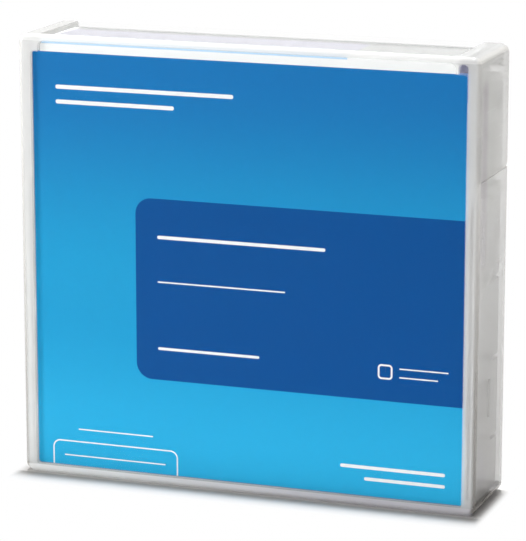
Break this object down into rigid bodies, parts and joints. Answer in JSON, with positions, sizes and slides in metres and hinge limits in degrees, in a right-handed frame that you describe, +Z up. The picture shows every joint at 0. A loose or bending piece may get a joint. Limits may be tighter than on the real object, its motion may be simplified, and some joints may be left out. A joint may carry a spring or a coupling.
{
  "type": "data tape cartridge in hinged case",
  "caption": "Half-inch data tape cartridge standing in a milky hinged plastic case with a folded blue inlay card; the lid swings, the reel turns and the door slides.",
  "frame": {"origin": "middle of the closed case's footprint, on the underside of the tray's floor", "axes": "+X along the case's width, +Y from the card's face to the back panel, +Z up to the hinge end; the case stands upright on its narrow edge and is closed"},
  "size_m": [0.1152, 0.0246, 0.1092],
  "materials": {
    "milky_polypropylene": "clear-milky moulded polypropylene, satin gloss",
    "printed_card": "coated printed card, blue field on white",
    "charcoal_plastic": "fine-textured moulded polycarbonate",
    "door_plastic": "smooth moulded acetal",
    "label_paper": "matt white label stock",
    "zinc_steel": "zinc-plated steel",
    "spring_steel": "drawn steel wire",
    "reel_plastic": "natural white glass-filled plastic",
    "drive_plate_steel": "stamped stainless steel",
    "tape_film": "dark coated film, glossy edge",
    "brake_plastic": "white acetal",
    "release_plastic": "light grey acetal",
    "pin_steel": "polished hardened steel",
    "clip_steel": "stamped spring steel",
    "tab_plastic": "dull red moulded plastic",
    "chip_board": "thin green board with a copper loop"
  },
  "bodies": {
    "tray": {"case_tray": "milky_polypropylene"},
    "lid": {"case_lid": "milky_polypropylene", "inlay_card": "printed_card", "lower_shell": "charcoal_plastic", "upper_shell": "charcoal_plastic", "shell_screws": "zinc_steel", "rear_label": "label_paper", "door_spring": "spring_steel", "brake_spring": "spring_steel", "leader_pin": "pin_steel", "tape_leader": "tape_film", "pin_clip": "clip_steel", "memory_chip": "chip_board"},
    "reel": {"reel_hub": "reel_plastic", "upper_flange": "reel_plastic", "reel_plate": "drive_plate_steel", "tape_pack": "tape_film"},
    "brake": {"brake_button": "brake_plastic"},
    "release": {"release_plate": "release_plastic"},
    "door": {"access_door": "door_plastic"},
    "write_tab": {"write_protect_tab": "tab_plastic"}
  },
  "joints": [
    {"name": "lid_hinge", "type": "hinge", "parent": "tray", "child": "lid", "pos_m": [0, 0.0083, 0.096], "axis": [-1, 0, 0], "range_deg": [0, 110]},
    {"name": "reel_spin", "type": "hinge", "parent": "lid", "child": "reel", "pos_m": [0, 0, 0.053], "axis": [0, -1, 0], "continuous": true},
    {"name": "brake_slide", "type": "slide", "parent": "lid", "child": "brake", "axis": [0, 1, 0], "range_m": [0, 0.0016], "stiffness_N_per_m": 900, "springref_m": 0.006, "deforming": ["brake_spring"]},
    {"name": "release_slide", "type": "slide", "parent": "reel", "child": "release", "axis": [0, 1, 0], "range_m": [0, 0.0016]},
    {"name": "door_slide", "type": "slide", "parent": "lid", "child": "door", "axis": [0, 0, 1], "range_m": [0, 0.02], "stiffness_N_per_m": 12, "springref_m": -0.02, "deforming": ["door_spring"]},
    {"name": "write_protect_slide", "type": "slide", "parent": "lid", "child": "write_tab", "axis": [-1, 0, 0], "range_m": [0, 0.006]}
  ],
  "couplings": [
    {"joint": "release_slide", "follows": "brake_slide", "ratio": 1}
  ]
}
